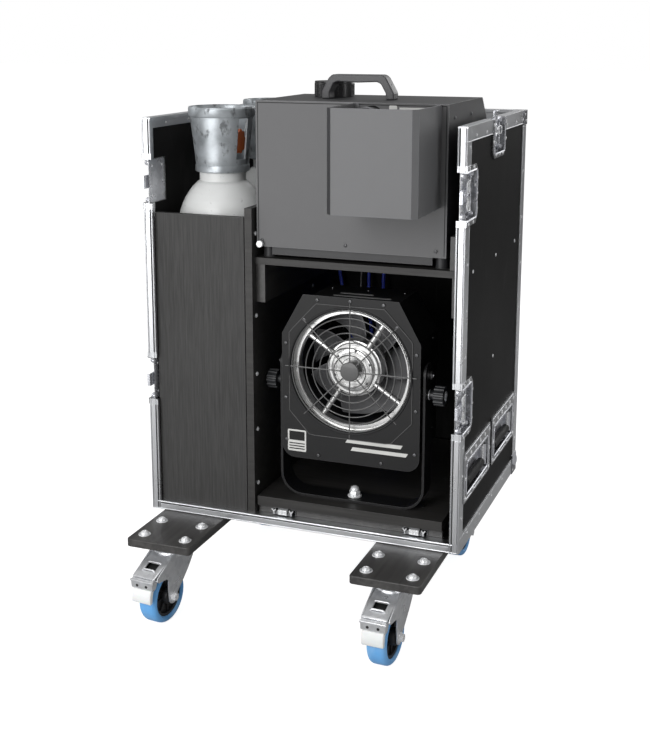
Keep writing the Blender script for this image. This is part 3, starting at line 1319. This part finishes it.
def add_carry_handle():
    """Moulded bridge handle: flat grip, chamfered corners, splayed legs, two screws."""
    low, high = case_box("carry_handle")
    middle, half = (low.x + high.x) / 2, (high.x - low.x) / 2
    rise = high.z - low.z
    outer = [(-half, 0), (-half, 12), (-half + 13, rise - 6), (-half + 20, rise), (half - 22, rise),
             (half - 15, rise - 4), (half, 12), (half, 0)]
    inner = [(half - 15, 0), (half - 15, 11), (half - 24, rise - 16), (half - 31, rise - 12.5),
             (0, rise - 14), (-half + 29, rise - 12.5), (-half + 22, rise - 16), (-half + 15, 11),
             (-half + 15, 0)]
    bm = bmesh.new()
    prism(bm, outer + inner, high.y - low.y, facing(at(middle, high.y, low.z), X, Z))
    piece = new_piece("carry_handle_grip", bm, "handle_plastic", "root", bevel=2.6, segments=4, smooth=12)
    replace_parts(piece, "carry_handle")
    bm = bmesh.new()
    for s in (-1, 1):
        slope = Vector((s * (rise - 18), 0, 13)).normalized()
        lathe(bm, [(0, -0.6), (3.6, -0.6), (3.6, 0.5), (2.4, 1.1), (0, 0.8)],
              at(middle + s * (half - 8), (low.y + high.y) / 2, low.z + 25), slope, 18)
    new_piece("carry_handle_screws", bm, "dark_steel", "root")


def add_cap_top():
    low, high = case_box("fluid_cap")
    centre = (low + high) / 2
    bm = bmesh.new()
    lathe(bm, [(0, -2.2), (24, -2.2), (25.5, -0.2), (34, -0.2), (36.2, -2.6), (36.4, -6), (34, -6)],
          at(centre.x, centre.y, high.z + 0.25), Z, 48)
    new_piece("cap_top", bm, "cap_plastic", "fluid_cap")


# ---- gas cylinders ----

def cylinder_axes():
    return [in_case(joint_at(name + "_handwheel_turn")) for name in ("front", "rear")]


def add_cylinder_details():
    """Rolled rims of the guards, safety caps and outlets of the valves, and a paper tag."""
    bm, valves = bmesh.new(), bmesh.new()
    low, high = case_box("cylinder_guards")
    for axis in cylinder_axes():
        neck = at(axis.x, axis.y, low.z)
        lathe(bm, [(45, 0.1), (48.6, 0.1), (50.4, 2), (50.4, 11), (49.6, 13.2), (48.4, 13.4), (45, 13.4),
                   (45, 0.1)], neck, Z, 64)
        lathe(bm, [(57.2, -16), (60.6, -17.6), (62, -15.5), (62, -2.2), (60.4, -0.4), (58, -0.2), (56.8, -2),
                   (56.8, -15), (57.2, -16)], at(axis.x, axis.y, high.z), Z, 72)
        lathe(valves, [(12.2, 20), (14, 21), (14, 34), (12.2, 36), (12.2, 70), (14.5, 71), (14.5, 80),
                       (12, 82.4), (0, 82.6)], neck, Z, 32)
        hexagon(valves, at(axis.x - 26, axis.y, 700), -X, 24, 9)
    new_piece("guard_rims", bm, "guard_metal", "root")
    new_piece("valve_fittings", valves, "valve_brass", "root", bevel=0.4)
    front = cylinder_axes()[0]
    bm = bmesh.new()
    rows = 12
    strip = []
    for i in range(rows + 1):
        t = i / rows
        bow = 3 * sin(pi * t)
        z = 713 + 46 * t
        strip.append([bm.verts.new(at(front.x + 41 + 8 * t + bow, front.y + 8, z)),
                      bm.verts.new(at(front.x + 50 + 8 * t + bow, front.y - 12, z))])
    bridge(bm, strip, False)
    tag = new_piece("paper_tag", bm, "paper", "root")
    solid = tag.modifiers.new("thickness", "SOLIDIFY")
    solid.thickness = 0.5 * MM
    bm = bmesh.new()
    hanger = [(front.x + x, front.y + y, z) for x, y, z in ((54, -2, 757), (40, 2, 752), (16, 0, 726))]
    tube(bm, [at(*p) for p in smooth_route(hanger, 6)], 0.6, 6)
    new_piece("tag_wire", bm, "dark_steel", "root")


# ---- leads ----

LEADS = {
    "lead_left": ([(222, 353, 566), (222, 395, 566), (219, 425, 530), (216, 427, 450), (226, 424, 385),
                   (250, 410, 290), (300, 385, 180), (330, 392, 90), (330, 393, 51.5)], 3.5, "lead_jacket"),
    "lead_middle": ([(300, 353, 566), (300, 395, 566), (291, 425, 530), (289, 428, 450), (288, 424, 385),
                     (300, 405, 290), (335, 380, 180), (350, 389, 90), (350, 390, 51.5)], 3.5, "lead_jacket"),
    "lead_right": ([(340, 353, 566), (340, 395, 566), (331, 425, 530), (327, 428, 450), (320, 424, 385),
                    (330, 410, 290), (360, 385, 180), (370, 392, 90), (370, 393, 51.5)], 3.5, "lead_jacket"),
    "lead_thin": ([(280, 353, 556), (280, 395, 556), (280, 420, 520), (281, 422, 450), (272, 420, 385),
                   (280, 410, 290), (305, 395, 180), (312, 395, 90), (312, 396, 51.5)], 1.5, "grey_jacket"),
}


def add_leads():
    """Leads that hang behind the shelf, from the fog generator down to the tray."""
    for name, (points, radius, jacket) in LEADS.items():
        path = [at(*p) for p in smooth_route(points, 4)]
        bm = bmesh.new()
        tube(bm, path, radius, 12)
        mesh = bpy.data.meshes.new(name)
        bmesh.ops.recalc_face_normals(bm, faces=bm.faces)
        bm.to_mesh(mesh)
        bm.free()
        mesh.shade_smooth()
        mesh.materials.append(materials[jacket])
        lead = bpy.data.objects.new(name, mesh)
        bpy.context.scene.collection.objects.link(lead)
        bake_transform(lead)
        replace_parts(lead, "signal_leads")


# ---- build ----

add_camera()
materials = make_materials()
paint_frame()
add_studio()
add_leads()
add_case_rivets()
add_profile_ribs()
add_board_screws()
add_ball_corners()
for latch in LATCHES:
    add_latch_dish(latch)
    add_latch(latch)
for handle in HANDLES:
    add_handle_dish(handle)
    add_grip(handle)
add_runner_fronts()
for castor in ("front_left", "front_right", "rear_left", "rear_right"):
    add_fork(castor, castor.startswith("front"))
    add_hub_faces(castor)
for castor in ("front_left", "front_right"):
    add_pedal(castor)
add_castor_boards()
add_bolt_details()
add_fan_front()
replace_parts(add_wire_guard("front_guard", -1.2, -Y, 124), "fan_guards")
add_wire_guard("rear_guard", in_case(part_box("fan_guards")[1]).y - FAN_FACE - 1.9, Y, 112)
add_motor_face()
add_impeller()
add_yoke_hardware()
add_generator_details()
add_carry_handle()
add_cap_top()
add_cylinder_details()
